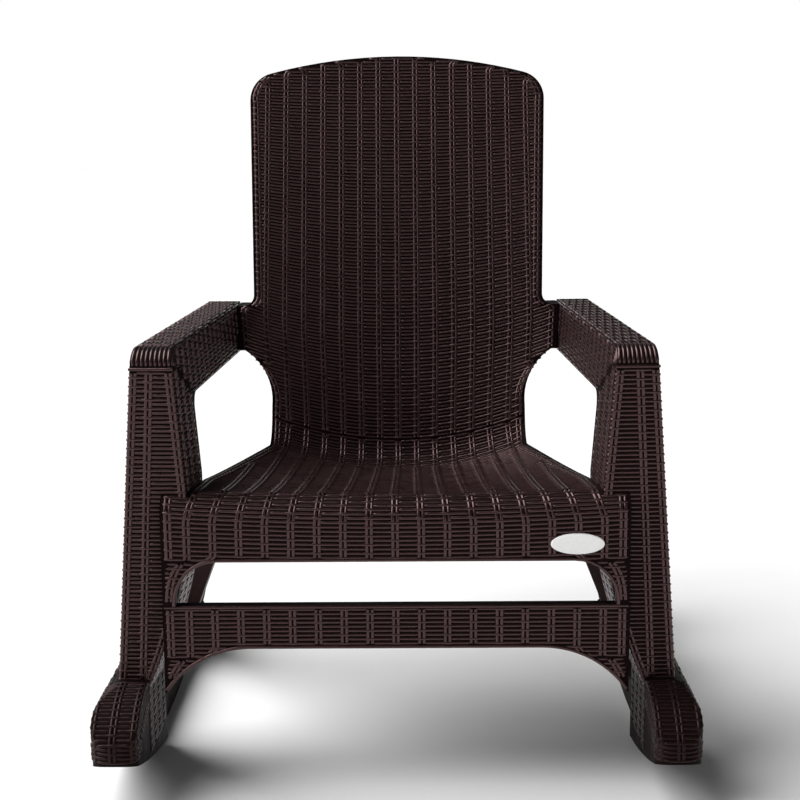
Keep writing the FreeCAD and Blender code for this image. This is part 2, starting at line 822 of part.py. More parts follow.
def rear_foot_places(height):
    plug_lean = S["foot_plug"] / 2 * tangent(S["rear_splay"])
    middle = S["rear_inner"] + S["rear_width"] / 2 - plug_lean
    return [(middle, rear_front_at(REAR_FOOT) + S["rear_depth"] * share, height) for share in FOOT_SHARES]


def build_rear_leg():
    none = as_size(0)
    post = rear_post("rear_post", REAR_FOOT, KNEE, none, none, none)
    hollow = rear_post("rear_hollow", REAR_FOOT + S["foot_plug"], KNEE, WALL, WALL, -S["rear_depth"])
    plate = box_outline(S["flange_inner"], FLANGE_FRONT, rear_inner_at(KNEE) + S["rear_width"],
                        FLANGE_FRONT + S["rear_depth"])
    flange = prism("rear_flange", "XY_Plane", KNEE, S["flange_thickness"], plate)
    # The web that stiffens the corner below the flange runs into both it and the post.
    web_top = KNEE + S["flange_thickness"] / 2
    web_bottom = KNEE - S["gusset_height"]
    web = [
        (S["flange_inner"] + EDGE, web_top),
        (rear_inner_at(web_bottom) + WALL / 2, web_bottom),
        (rear_inner_at(KNEE) + WALL / 2, web_top),
    ]
    gusset = prism("rear_gusset", "XZ_Plane", FLANGE_FRONT + WALL / 2, WALL, web)
    bores = pins("flange_bore", flange_places(KNEE - GAP), "Z", BORE, S["flange_thickness"] + GAP * 2)
    bores += pins("rear_foot_bore", rear_foot_places(REAR_FOOT - GAP), "Z", BORE, S["foot_plug"] - GAP)
    solid = joined("rear_solid", without("rear_channel", post, hollow), flange, gusset)
    return without("rear_body", solid, *bores)


# Rockers: a bowed rail with a boot at each leg, open below.

RAIL_INNER = S["rocker_outer"] - S["rail_width"]
TOE_END = FRONT - S["toe_overhang"]
TAIL_END = S["tail_reach"]
UNDER_FLOOR = -S["rail_height"]
OVER_BOOT = S["boot_top"] + S["rail_height"]
LEG_HEEL = frame_point(S["foot_inner"] + S["foot_width"] + GAP, S["leg_depth"] + GAP, 0)[1]
FRONT_BOOT_HEEL = LEG_HEEL + WALL
REAR_BOOT_FRONT = rear_front_at(S["rear_boot_top"]) - GAP - WALL
REAR_BOOT_BACK = rear_front_at(REAR_FOOT) + S["rear_depth"] + GAP * 2 + WALL


def bow_height(radius, along):
    """Height above its lowest point of a bow that is level over the contact line."""
    return radius - root(radius * radius - along * along)


def bow_rise(radius, start, end):
    """How far a bow stands off the straight line between two of its places."""
    across = end - start
    climb = bow_height(radius, end) - bow_height(radius, start)
    return radius - root(radius * radius - (across * across + climb * climb) / 4)


def running_edge(along):
    return bow_height(S["rocker_radius"], along)


def top_radius():
    """Radius of the rail's top bow, flatter than its running edge."""
    bow = running_edge(TAIL_END) + S["rail_end"] - S["rail_height"]
    return (TAIL_END * TAIL_END + bow * bow) / (2 * bow)


def rail_region(name, inset):
    """The rail from inside the front boot to its rounded rear end, reaching below the floor."""
    start = FRONT_BOOT_HEEL - S["rail_width"]
    end = TAIL_END - inset
    level = S["rail_height"] - inset
    bow = top_radius()
    side = [
        (start, UNDER_FLOOR),
        (end, UNDER_FLOOR),
        (end, level + bow_height(bow, end), bow_rise(bow, start, end)),
        (start, level + bow_height(bow, start)),
    ]
    plan = box_outline(RAIL_INNER + inset, start, S["rocker_outer"] - inset, end)
    turn = S["rail_round"] - inset
    return shared(
        name,
        prism(name + "_side", "YZ_Plane", RAIL_INNER + inset, S["rail_width"] - inset * 2, side, [(2, turn)]),
        prism(name + "_plan", "XY_Plane", UNDER_FLOOR, THROUGH, plan, [(2, turn), (3, turn)]),
    )


def front_boot_region(name, inset, top):
    """The boot round the front foot, from its pointed toe to its upright heel."""
    toe = TOE_END + inset
    heel = FRONT_BOOT_HEEL - inset
    inner = S["boot_inner"] + inset
    outer = S["rocker_outer"] - inset
    side = [
        (toe, UNDER_FLOOR),
        (heel, UNDER_FLOOR),
        (heel, top),
        (FRONT - S["boot_lip"], top, -S["boot_instep"]),
        (toe, running_edge(TOE_END) + S["boot_tip_height"] - inset),
    ]
    front = box_outline(inner, UNDER_FLOOR, outer, top)
    plan = box_outline(inner, toe, outer, heel)
    turn = S["boot_round"] - inset
    inner_turn = S["boot_inner_round"] - inset
    return shared(
        name,
        prism(name + "_side", "YZ_Plane", 0, THROUGH, side),
        prism(name + "_front", "XZ_Plane", -THROUGH, THROUGH * 2, front, [(2, turn)]),
        prism(name + "_plan", "XY_Plane", UNDER_FLOOR, THROUGH, plan, [(0, inner_turn), (1, turn)]),
    )


def front_socket():
    """Room for the front foot in its boot."""
    side = box_outline(-GAP, S["foot_height"] - GAP, S["leg_depth"] + GAP, OVER_BOOT)
    return shared("front_socket", frame_section("socket_width", -GAP), frame_side("socket_side", side))


def build_rocker():
    running = prism("rocker_running", "YZ_Plane", 0, THROUGH, [
        (TOE_END, running_edge(TOE_END), -bow_rise(S["rocker_radius"], TOE_END, TAIL_END)),
        (TAIL_END, running_edge(TAIL_END)),
        (TAIL_END, OVER_BOOT),
        (TOE_END, OVER_BOOT),
    ])
    rail = rail_region("rocker_rail", as_size(0))
    boot = front_boot_region("front_boot", as_size(0), S["boot_top"])
    rear_inner = rear_inner_at(S["rear_boot_top"]) - GAP - WALL
    rear_width = S["rocker_outer"] - rear_inner
    rear_boot = prism("rear_boot", "YZ_Plane", rear_inner, rear_width, box_outline(
        REAR_BOOT_FRONT, UNDER_FLOOR, REAR_BOOT_BACK, S["rear_boot_top"]))
    solid = shared("rocker_solid", joined("rocker_blank", rail, boot, rear_boot), running)

    # Each foot stands on a shelf across its boot, and below the shelves the rocker is hollow.
    front_shelf = S["foot_height"] - GAP - S["boot_shelf"]
    rear_shelf = REAR_FOOT - GAP - S["boot_shelf"]
    rail_core = without("rail_core", rail_region("rail_hollow", WALL), rear_boot)
    boot_core = front_boot_region("front_boot_core", WALL, front_shelf)
    rear_core = prism("rear_boot_core", "YZ_Plane", rear_inner + WALL, rear_width - WALL * 2, box_outline(
        REAR_BOOT_FRONT + WALL, UNDER_FLOOR, REAR_BOOT_BACK - WALL, rear_shelf))
    rear_socket = rear_post("rear_socket", REAR_FOOT - GAP, OVER_BOOT, -GAP, -GAP, -GAP)
    bore_length = S["boot_shelf"] + GAP * 2
    bores = pins("boot_bore", foot_places(front_shelf - GAP), "Z", BORE, bore_length, in_frame=True)
    bores += pins("rear_boot_bore", rear_foot_places(rear_shelf - GAP), "Z", BORE, bore_length)
    return without("rocker_body", solid, rail_core, boot_core, rear_core, front_socket(), rear_socket, *bores)


# Fasteners: round-headed screws, grouped by what they hold.

def screws(name, places, axis, length, in_frame=False):
    """Screws whose heads start at the places and whose shanks follow the axis."""
    step = {"-X": (-1, 0, 0), "-Y": (0, -1, 0), "Z": (0, 0, 1)}[axis]
    sunk = S["screw_head"] / 2
    head_radius = S["screw_head_radius"]
    shank_radius = S["screw_radius"]
    both = []
    for number, point in enumerate(places):
        head = cylinder(f"{name}_head{number}", axis, point, head_radius, S["screw_head"], in_frame)
        root_point = [as_size(size) + sunk * way for size, way in zip(point, step)]
        shank = cylinder(f"{name}_shank{number}", axis, root_point, shank_radius, length + sunk, in_frame)
        screw = joined(f"{name}_screw{number}", head, shank)
        both += [screw, mirrored(screw.Name + "_left", screw)]
    group = doc.addObject("Part::Compound", name)
    group.Links = both
    doc.recompute()
    return group


def build_screws():
    seat = GAP + S["screw_head"]
    behind_wall = FRONT + WALL + seat
    in_arm = WALL + seat - S["arm_width"] / 2
    under_shelf = S["boot_shelf"] + GAP + seat
    front_feet = foot_places(S["foot_height"] - under_shelf)
    rear_feet = rear_foot_places(REAR_FOOT - under_shelf)
    length = S["screw_length"]
    groups = [
        screws("apron_screws", apron_places(behind_wall), "-Y", S["apron_proud"]),
        screws("stretcher_screws", stretcher_places(behind_wall), "-Y", S["apron_proud"] - WALL),
        screws("arm_screws", arm_places(in_arm), "-X", length + WALL, in_frame=True),
        screws("front_foot_screws", front_feet, "Z", length, in_frame=True),
        screws("rear_foot_screws", rear_feet, "Z", length),
        screws("rear_leg_screws", flange_places(KNEE - seat), "Z", length),
    ]
    return {group.Name: group for group in groups}


# Label: a blank oval on the apron.

def build_label():
    rim = doc.addObject("Part::Ellipse", "label_rim")
    bind(rim, "MajorRadius", S["label_half_width"])
    bind(rim, "MinorRadius", S["label_half_height"])
    rim.Placement = FreeCAD.Placement(FreeCAD.Vector(), FreeCAD.Rotation(FreeCAD.Vector(1, 0, 0), 90))
    bind(rim, "Placement.Base.x", S["label_offset"])
    bind(rim, "Placement.Base.y", APRON_FACE - S["label_gap"])
    bind(rim, "Placement.Base.z", SLOT_TOP + S["label_rise"])
    plate = doc.addObject("Part::Extrusion", "label_plate")
    plate.Base = rim
    plate.DirMode = "Custom"
    plate.Dir = FreeCAD.Vector(0, -1, 0)
    plate.Solid = True
    bind(plate, "LengthFwd", S["label_thickness"])
    doc.recompute()
    return plate


def build_all():
    frame = build_frame()
    rear_leg = build_rear_leg()
    rocker = build_rocker()
    nodes = {
        "seat_shell": build_shell(),
        "right_side_frame": frame,
        "left_side_frame": mirrored("frame_left", frame),
        "front_stretcher": build_stretcher(),
        "right_rear_leg": rear_leg,
        "left_rear_leg": mirrored("rear_leg_left", rear_leg),
        "right_rocker": rocker,
        "left_rocker": mirrored("rocker_left", rocker),
        "apron_label": build_label(),
    }
    nodes.update(build_screws())
    return nodes


def write_parts(nodes):
    doc.recompute()
    for thing in doc.Objects:
        if "Invalid" in thing.State or "Error" in thing.State:
            raise RuntimeError(f"{thing.Name} did not build: {thing.State}")
    os.makedirs("parts", exist_ok=True)
    for label, thing in nodes.items():
        if thing.Shape.isNull() or not thing.Shape.isValid():
            raise RuntimeError(f"{label} has no valid shape")
        thing.Label = label
        thing.Shape.exportStep(f"parts/{label}.step")
        print(f"{label}: {len(thing.Shape.Solids)} solids, {thing.Shape.Volume:.0f} mm3")


write_parts(build_all())
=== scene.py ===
import math

import bpy
import numpy as np
from mathutils import Matrix, Vector
from mathutils.bvhtree import BVHTree


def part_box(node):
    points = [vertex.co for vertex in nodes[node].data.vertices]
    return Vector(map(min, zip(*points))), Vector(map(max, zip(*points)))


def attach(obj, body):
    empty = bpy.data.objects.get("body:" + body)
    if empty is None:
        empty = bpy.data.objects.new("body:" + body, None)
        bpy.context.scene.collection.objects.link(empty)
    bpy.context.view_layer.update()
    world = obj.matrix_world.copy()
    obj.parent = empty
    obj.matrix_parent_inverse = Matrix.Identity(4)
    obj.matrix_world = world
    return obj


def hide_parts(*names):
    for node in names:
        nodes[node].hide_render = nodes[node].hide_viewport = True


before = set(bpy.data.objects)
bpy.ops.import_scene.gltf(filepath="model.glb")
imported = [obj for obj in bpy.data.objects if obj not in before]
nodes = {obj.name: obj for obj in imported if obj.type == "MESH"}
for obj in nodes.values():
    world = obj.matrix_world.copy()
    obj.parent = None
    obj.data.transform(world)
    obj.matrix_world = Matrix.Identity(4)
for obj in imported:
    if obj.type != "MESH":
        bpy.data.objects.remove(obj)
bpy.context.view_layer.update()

MM = 0.001

# Sizes of the chair in metres. What a node's box gives is read from it, the rest is as the solids have it.
shell_low, shell_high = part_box("seat_shell")
stretcher_low, stretcher_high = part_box("front_stretcher")
side_low, side_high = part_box("right_side_frame")
rocker_low, rocker_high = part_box("right_rocker")
label_low, label_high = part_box("apron_label")

APRON_FACE = shell_low.y
APRON_BOTTOM = shell_low.z
APRON_HALF = shell_high.x
BACK_TOP = shell_high.z
APRON_PROUD = 16 * MM
FRONT = APRON_FACE + APRON_PROUD
FIT_GAP = 0.4 * MM
STRETCHER_TOP = stretcher_high.z
ARM_TOP = side_high.z
ARM_DEPTH = 72 * MM

# Seat and back shell, seen from the side and from the front.
RECLINE = math.radians(18.3)
SEAT_HEIGHT = 380 * MM
SEAT_DEPTH = 463 * MM
SEAT_SLOPE = math.radians(7.8)
SEAT_TURN = math.radians(1.75)
SIDE_SLOPE = math.radians(-3.0)
SIDE_TURN = math.radians(8.3)
WATERFALL = 30 * MM
BEND = 50 * MM
SIDE_BEND = 60 * MM
DISH = 10 * MM
BACK_WRAP = 13.7 * MM
RIM_DEPTH = 22 * MM
TRIM_MARGIN = 12 * MM
SHEET_HALF = APRON_HALF + TRIM_MARGIN
SHEET_END = BACK_TOP + TRIM_MARGIN
SLOT_HALF = 272 * MM
SLOT_HEIGHT = 56 * MM
SLOT_TOP = STRETCHER_TOP + SLOT_HEIGHT
SLOT_CORNER = 52 * MM
WAIST_HALF = 193 * MM
WAIST_DROP = 82 * MM
WAIST_BOW = 13 * MM
EAR_INSET = 3 * MM
EAR_TOP = ARM_TOP - EAR_INSET
EAR_BOTTOM = ARM_TOP - ARM_DEPTH + EAR_INSET
WAIST_TOP = EAR_BOTTOM - WAIST_DROP
EAR_CORNER = 16 * MM
EAR_FLAT = 8 * MM
EAR_CLEARANCE = 2 * MM
BACK_LOW_HALF = 222 * MM
BACK_TOP_HALF = 232 * MM
CROWN_RISE = 35 * MM
CROWN_CORNER = 42 * MM

# Front stretcher.
STRETCHER_FACE = stretcher_low.y
STRETCHER_HALF = stretcher_high.x
STRETCHER_HEIGHT = 56 * MM
STRETCHER_BOTTOM = STRETCHER_TOP - STRETCHER_HEIGHT
STRETCHER_ARCH = 129 * MM
ARCH_REACH = 108.4 * MM

# Side frames, in a frame of their own: x out from the arm's middle, y back from the leg's front.
FRAME_HALF = 295 * MM
TOE = math.radians(2.4)
ARM_HALF = 24 * MM
ARM_LENGTH = 540 * MM
ARM_CORNER = 24 * MM
LEG_DEPTH = 110 * MM
LEG_BULGE = 14 * MM
LEG_BOW = 18 * MM
FOOT_HEIGHT = side_low.z
FOOT_INNER = 30 * MM
FOOT_OUTER = 57 * MM

# The weave: strands along the rows go over and under upright stakes, each a pair of rods.
# Heights are over the face.
ROW_PITCH = 5.5 * MM
STRAND_HALF = 2.0 * MM
STRAND_DEPTH = 1.9 * MM
STRAND_LEVEL = 1.1 * MM
STRAND_OVER = 1.9 * MM
STRAND_UNDER = -0.4 * MM
STAKE_PITCH = 32 * MM
STAKE_REACH = 9 * MM
ROD_OFFSETS = (-2.8 * MM, 2.8 * MM)
ROD_HALF = 2.2 * MM
ROD_HIGH = 2.1 * MM
ROD_LOW = 1.0 * MM
BEND_SAMPLES = np.linspace(-1, 1, 7)
END_DIVE = 3 * MM
END_SINK = 0.3 * STRAND_DEPTH
RUN_MARGIN = 2.5 * MM
EDGE_INSET = 7 * MM


# Half-round strips, which make the strands, the stakes and the rims.

SECTION = np.array([-1.0, -0.7, 0.0, 0.7, 1.0])
SECTION_DROP = 1 - np.sqrt(1 - SECTION ** 2)


class Bundle:
    """Gathers half-round strips into one mesh."""

    def __init__(self):
        self.corners = []
        self.faces = []
        self.strips = []
        self.count = 0

    def add(self, points, normals, crown, half_width):
        points = np.asarray(points)
        along = np.gradient(points, axis=0)
        across = np.cross(normals, along)
        across /= np.linalg.norm(across, axis=1, keepdims=True)
        rise = crown[:, None] - SECTION_DROP * STRAND_DEPTH
        corners = points[:, None, :] + across[:, None, :] * (SECTION * half_width)[None, :, None]
        corners = corners + normals[:, None, :] * rise[:, :, None]
        grid = np.arange(corners.shape[0] * len(SECTION)).reshape(-1, len(SECTION)) + self.count
        quads = np.stack([grid[:-1, :-1], grid[1:, :-1], grid[1:, 1:], grid[:-1, 1:]], axis=-1)
        self.corners.append(corners.reshape(-1, 3))
        self.faces.append(quads.reshape(-1, 4))
        self.strips.append(corners.shape[0])
        self.count += grid.size

    def bake_map(self):
        """A flat map with one band for each strip."""
        bands = len(self.strips)
        places = []
        for band, length in enumerate(self.strips):
            share = np.linspace(0.0, 1.0, length)
            level = (band + 0.5 + 0.4 * SECTION) / bands
            grid = np.broadcast_arrays(share[:, None], level[None, :])
            places.append(np.stack(grid, axis=-1).reshape(-1, 2))
        return np.concatenate(places)

    def build(self, name, material):
        corners = np.concatenate(self.corners)
        faces = np.concatenate(self.faces)
        mesh = bpy.data.meshes.new(name)
        mesh.from_pydata(corners, [], faces)
        mesh.shade_smooth()
        layer = mesh.uv_layers.new(name="OFBake")
        layer.uv.foreach_set("vector", self.bake_map()[faces.ravel()].astype(np.float32).ravel())
        return place_piece(name, mesh, material)


def place_piece(name, mesh, material):
    piece = bpy.data.objects.new(name, mesh)
    bpy.context.scene.collection.objects.link(piece)
    piece.data.materials.append(material)
    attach(piece, "root")
    return piece


def bump(distance, reach):
    """One at a stake, falling smoothly to nothing at its reach."""
    return np.cos(np.clip(np.abs(distance) / reach, 0, 1) * math.pi / 2) ** 2


def dive(along, crown):
    """Sinks both ends of a strip into what carries it."""
    from_end = np.minimum(along - along[0], along[-1] - along)
    share = np.clip(from_end / END_DIVE, 0, 1)
    return crown * share - END_SINK * (1 - share)


def lay_strand(bundle, surface, row, number, start, end, columns, extra):
    """One strand along a row from start to end, over every second stake."""
    steps = max(3, int((end - start) / (2 * STAKE_REACH)) + 1)
    places = [np.linspace(start, end, steps), extra]
    for _, place in columns:
        places.append(place + STAKE_REACH * BEND_SAMPLES)
    places = np.concatenate(places)
    places = np.unique(np.round(places[(places >= start) & (places <= end)], 5))
    if len(places) < 3:
        return
    crown = np.full(len(places), STRAND_LEVEL)
    for index, place in columns:
        height = STRAND_OVER if (index + number) % 2 == 0 else STRAND_UNDER
        crown = crown + (height - STRAND_LEVEL) * bump(places - place, STAKE_REACH)
    points, normals = surface(places, row)
    bundle.add(points, normals, dive(places, crown), STRAND_HALF)


def lay_stakes(bundle, surface, rows, trails):
    """The stakes through the rows, broken where a row is missing or a stake jumps aside."""
    for index, trail in trails.items():
        numbers = np.array([number for number, _ in trail])
        cuts = np.where(np.diff(numbers) > 1)[0] + 1
        jumps = np.where(np.abs(np.diff([place for _, place in trail])) > EDGE_INSET)[0] + 1
        for stretch in np.split(np.arange(len(trail)), np.union1d(cuts, jumps)):
            if len(stretch) < 3:
                continue
            for offset in ROD_OFFSETS:
                lay_rod(bundle, surface, rows, [trail[i] for i in stretch], index, offset)


def lay_rod(bundle, surface, rows, trail, index, offset):
    points = []
    normals = []
    crown = []
    for number, place in trail:
        point, normal = surface(np.array([place + offset]), rows[number])
        points.append(point[0])
        normals.append(normal[0])
        crown.append(ROD_LOW if (index + number) % 2 == 0 else ROD_HIGH)
    bundle.add(np.array(points), np.array(normals), np.array(crown), ROD_HALF)


def weave(strands, stakes, surface, rows, runs_at, columns_at, extra_at=None):
    """Weaves a face: surface(places, row) gives its points and normals, a column is a number and a place."""
    trails = {}
    for number, row in enumerate(rows):
        for start, end in runs_at(row):
            columns = columns_at(row, start, end)
            extra = extra_at(row) if extra_at else np.zeros(0)
            lay_strand(strands, surface, row, number, start, end, columns, extra)
            for index, place in columns:
                trails.setdefault(index, []).append((number, place))
    lay_stakes(stakes, surface, rows, trails)


def runs_inside(places, room, margin):
    """The stretches of a row where there is room, with their ends worked out between the places."""
    inside = room > margin
    runs = []
    start = None
    for i in range(len(places)):
        if inside[i] and start is None:
            start = places[i]
            if i > 0:
                share = (margin - room[i - 1]) / (room[i] - room[i - 1])
                start = places[i - 1] + share * (places[i] - places[i - 1])
        if start is not None and (not inside[i] or i == len(places) - 1):
            end = places[i]
            if not inside[i]:
                share = (room[i - 1] - margin) / (room[i - 1] - room[i])
                end = places[i - 1] + share * (places[i] - places[i - 1])
            runs.append((start, end))
            start = None
    return [(a, b) for a, b in runs if b - a > 4 * STRAND_HALF]


def spread_columns(pitch, start, end):
    """Stakes at whole pitches from the middle, and one at each end of the row. A short row has one alone."""
    first = math.ceil((start + 2 * EDGE_INSET) / pitch)
    last = math.floor((end - 2 * EDGE_INSET) / pitch)
    if last < first:
        middle = (start + end) / 2
        return [(1 if middle > 0 else -1, middle)]
    inner = [(index, index * pitch) for index in range(first, last + 1)]
    return [(first - 1, start + EDGE_INSET)] + inner + [(last + 1, end - EDGE_INSET)]


# The shell's sitting face. A station's whole number is its stretch: apron, waterfall edge, seat, bend, back.

class Profile:
    """The sheet's line seen from the side, in its middle or along its sides."""

    def __init__(self, lift, slope, turn, bend, wrap):
        self.bend = bend
        self.first = slope + turn
        self.last = slope - turn
        self.fall = np.array([APRON_FACE + WATERFALL, SEAT_HEIGHT - DISH + lift - WATERFALL])
        start = self.fall + WATERFALL * self.out(math.pi / 2 + self.first)
        rise = start[1] + bend * math.cos(self.last) - SEAT_HEIGHT
        back_face = APRON_FACE + SEAT_DEPTH - wrap + rise * math.tan(RECLINE)
        room = back_face - bend / math.cos(RECLINE) - bend * math.sin(self.last) - start[0]
        run = room / (math.cos(slope) + math.tan(RECLINE) * math.sin(slope))
        self.hollow = run / (2 * math.sin(turn))
        self.hollow_centre = start + self.hollow * self.out(math.pi / 2 + self.first)
        self.bend_centre = self.hollow_centre + (bend - self.hollow) * self.out(math.pi / 2 + self.last)
        self.back_start = self.bend_centre - bend * self.out(RECLINE)

    @staticmethod
    def out(turn):
        """The direction out of the sitting face, turned up from straight ahead."""
        return np.array([-math.cos(turn), math.sin(turn)])

    def lengths(self):
        return [
            self.fall[1] - APRON_BOTTOM,
            WATERFALL * (math.pi / 2 + self.first),
            self.hollow * (self.first - self.last),
            self.bend * (math.pi / 2 + self.last - RECLINE),
            (SHEET_END - self.back_start[1]) / math.cos(RECLINE),
        ]

    def at(self, station):
        """Place along and up at a station."""
        stretch = min(int(station), 4)
        share = station - stretch
        if stretch == 0:
            return np.array([APRON_FACE, APRON_BOTTOM + share * (self.fall[1] - APRON_BOTTOM)])
        if stretch == 1:
            return self.fall + WATERFALL * self.out(share * (math.pi / 2 + self.first))
        if stretch == 2:
            turn = math.pi / 2 + self.first + share * (self.last - self.first)
            return self.hollow_centre - self.hollow * self.out(turn)
        if stretch == 3:
            turn = math.pi / 2 + self.last
            return self.bend_centre - self.bend * self.out(turn + share * (RECLINE - turn))
        rise = share * (SHEET_END - self.back_start[1])
        return self.back_start + rise * np.array([math.tan(RECLINE), 1.0])


MIDDLE = Profile(0.0, SEAT_SLOPE, SEAT_TURN, BEND, 0.0)
SIDES = Profile(DISH, SIDE_SLOPE, SIDE_TURN, SIDE_BEND, BACK_WRAP)
STRETCH_ENDS = np.concatenate([[0.0], np.cumsum(MIDDLE.lengths())])
STATION_STEP = 0.002


def station_at(distance):
    return np.interp(distance, STRETCH_ENDS, np.arange(len(STRETCH_ENDS)))


def shell_surface(across, station):
    """Points of the sitting face and directions out of it: the sides' line blends in across the width."""
    across = np.asarray(across, float)
    share = (across / SHEET_HALF) ** 2
    middle = MIDDLE.at(station)
    lean = SIDES.at(station) - middle
    ahead = min(station + STATION_STEP, STRETCH_ENDS.size - 1.0)
    behind = max(station - STATION_STEP, 0.0)
    middle_run = MIDDLE.at(ahead) - MIDDLE.at(behind)
    lean_run = SIDES.at(ahead) - SIDES.at(behind) - middle_run
    points = np.stack([across, middle[0] + share * lean[0], middle[1] + share * lean[1]], axis=-1)
    slope = 2 * across / SHEET_HALF ** 2
    sideways = np.stack([np.ones_like(across), slope * lean[0], slope * lean[1]], axis=-1)
    onward = np.stack([np.zeros_like(across), middle_run[0] + share * lean_run[0],
                       middle_run[1] + share * lean_run[1]], axis=-1)
    normals = np.cross(sideways, onward)
    return points, normals / np.linalg.norm(normals, axis=1, keepdims=True)


def seat_half(y):
    """Half the width of the seat and apron, seen from above."""
    leg_side = FRAME_HALF - ARM_HALF - LEG_BULGE - 2 * FIT_GAP
    beside_leg = leg_side - LEG_DEPTH * math.tan(TOE)
    waist_y = MIDDLE.bend_centre[0] + BEND / 4
    plan = np.interp(y, [FRONT, FRONT + LEG_DEPTH, waist_y], [leg_side, beside_leg, WAIST_HALF])
    return np.where(y < FRONT - FIT_GAP, APRON_HALF, plan)


CROWN_RADIUS = (BACK_TOP_HALF ** 2 + CROWN_RISE ** 2) / (2 * CROWN_RISE)
CROWN_CENTRE = BACK_TOP - CROWN_RADIUS
CORNER_X = BACK_TOP_HALF - CROWN_CORNER
CORNER_Z = CROWN_CENTRE + math.sqrt((CROWN_RADIUS - CROWN_CORNER) ** 2 - CORNER_X ** 2)
CORNER_MEETS = CROWN_CENTRE + (CORNER_Z - CROWN_CENTRE) * CROWN_RADIUS / (CROWN_RADIUS - CROWN_CORNER)


def arm_inner(z):
    """Distance of the arm's inner face from its middle, down to the seat."""
    return ARM_HALF + (ARM_TOP - z) * LEG_BULGE / (ARM_TOP - SEAT_HEIGHT)


def ear_half(z):
    """Half the width of the back where it meets the arms."""
    rear_face = APRON_FACE + SEAT_DEPTH - BACK_WRAP + RIM_DEPTH / math.cos(RECLINE)
    reach = rear_face + (z - SEAT_HEIGHT) * math.tan(RECLINE) - FRONT
    return FRAME_HALF - arm_inner(z) - reach * math.tan(TOE) - EAR_CLEARANCE


def back_half(z):
    """Half the width of the back, seen from the front."""
    share = np.clip((z - WAIST_TOP) / (EAR_BOTTOM - WAIST_TOP), 0, 1)
    ear_corner = ear_half(EAR_BOTTOM) - EAR_FLAT
    waist = WAIST_HALF + share * (ear_corner - WAIST_HALF) - 4 * WAIST_BOW * share * (1 - share)
    side = np.interp(z, [EAR_TOP, BACK_TOP - CROWN_RISE], [BACK_LOW_HALF, BACK_TOP_HALF])
    ear_rise = np.clip((EAR_TOP + EAR_CORNER - z) / EAR_CORNER, 0, 1)
    side = side + EAR_CORNER * (1 - np.sqrt(1 - ear_rise ** 2))
    corner = CORNER_X + np.sqrt(np.clip(CROWN_CORNER ** 2 - (z - CORNER_Z) ** 2, 0, None))
    crown = np.sqrt(np.clip(CROWN_RADIUS ** 2 - (z - CROWN_CENTRE) ** 2, 0, None))
    return np.select([z < EAR_BOTTOM, z < EAR_TOP, z < CORNER_Z, z < CORNER_MEETS],
                     [waist, ear_half(z), side, corner], crown)


def slot_distance(across, z):
    """How far a point of the apron lies outside the rounded slot."""
    past_x = np.abs(across) - (SLOT_HALF - SLOT_CORNER)
    past_z = z - (SLOT_TOP - SLOT_CORNER)
    outside = np.hypot(np.clip(past_x, 0, None), np.clip(past_z, 0, None))
    return outside + np.clip(np.maximum(past_x, past_z), None, 0) - SLOT_CORNER


def shell_room(across, station):
    """How far inside its outline a point of the sitting face lies."""
    points = shell_surface(across, station)[0]
    y = points[:, 1]
    z = points[:, 2]
    width = np.where(z < WAIST_TOP, seat_half(y), back_half(z)) if station > 2 else seat_half(y)
    room = width - np.abs(across)
    if station < 1:
        room = np.minimum(room, slot_distance(across, z))
    if station > 4:
        room = np.minimum(room, CROWN_CENTRE + np.sqrt(CROWN_RADIUS ** 2 - across ** 2) - z)
    return room


ROW_SEARCH = np.arange(-SHEET_HALF, SHEET_HALF, 2 * MM)


def shell_runs(station):
    return runs_inside(ROW_SEARCH, shell_room(ROW_SEARCH, station), RUN_MARGIN)


SEAT_END_PITCH = 28.5 * MM
BEND_END_PITCH = 27.8 * MM
BACK_PITCH = 29 * MM


def stake_pitch(station):
    """The stakes close up from the apron to the waist, and spread a little again up the back."""
    pitches = [STAKE_PITCH, SEAT_END_PITCH, BEND_END_PITCH, BACK_PITCH]
    return np.interp(station, [1.0, 3.0, 4.0, 4.25], pitches)


def shell_columns(station, start, end):
    return spread_columns(stake_pitch(station), start, end)


def build_shell_weave(material):
    distances = np.arange(ROW_PITCH, STRETCH_ENDS[-1], ROW_PITCH)
    rows = [float(station_at(distance)) for distance in distances]
    parts = {
        "apron_weave": [row for row in rows if row < 2],
        "seat_weave": [row for row in rows if 2 <= row < 4],
        "back_weave": [row for row in rows if row >= 4],
    }
    for name, part_rows in parts.items():
        strands = Bundle()
        stakes = Bundle()
        weave(strands, stakes, shell_surface, part_rows, shell_runs, shell_columns)
        strands.build(name, material)
        stakes.build(name + "_stakes", material)


# The stretcher's front face.

def stretcher_surface(across, z):
    across = np.asarray(across, float)
    points = np.stack([across, np.full_like(across, STRETCHER_FACE), np.full_like(across, z)], axis=-1)
    return points, np.tile(np.array([0.0, -1.0, 0.0]), (len(across), 1))


def stretcher_bottom(across):
    past = np.clip(np.abs(across) - (STRETCHER_HALF - ARCH_REACH), 0, ARCH_REACH)
    return STRETCHER_BOTTOM - STRETCHER_ARCH + np.sqrt(STRETCHER_ARCH ** 2 - past ** 2)


def stretcher_runs(z):
    room = np.minimum(STRETCHER_HALF - np.abs(ROW_SEARCH), z - stretcher_bottom(ROW_SEARCH))
    return runs_inside(ROW_SEARCH, room, RUN_MARGIN)


def stretcher_columns(z, start, end):
    return spread_columns(STAKE_PITCH, start, end)


def build_stretcher_weave(material):
    strands = Bundle()
    stakes = Bundle()
    lowest = stretcher_low.z + ROW_PITCH
    rows = list(np.arange(STRETCHER_TOP - ROW_PITCH, lowest, -ROW_PITCH))
    weave(strands, stakes, stretcher_surface, rows, stretcher_runs, stretcher_columns)
    strands.build("stretcher_weave", material)
    stakes.build("stretcher_weave_stakes", material)


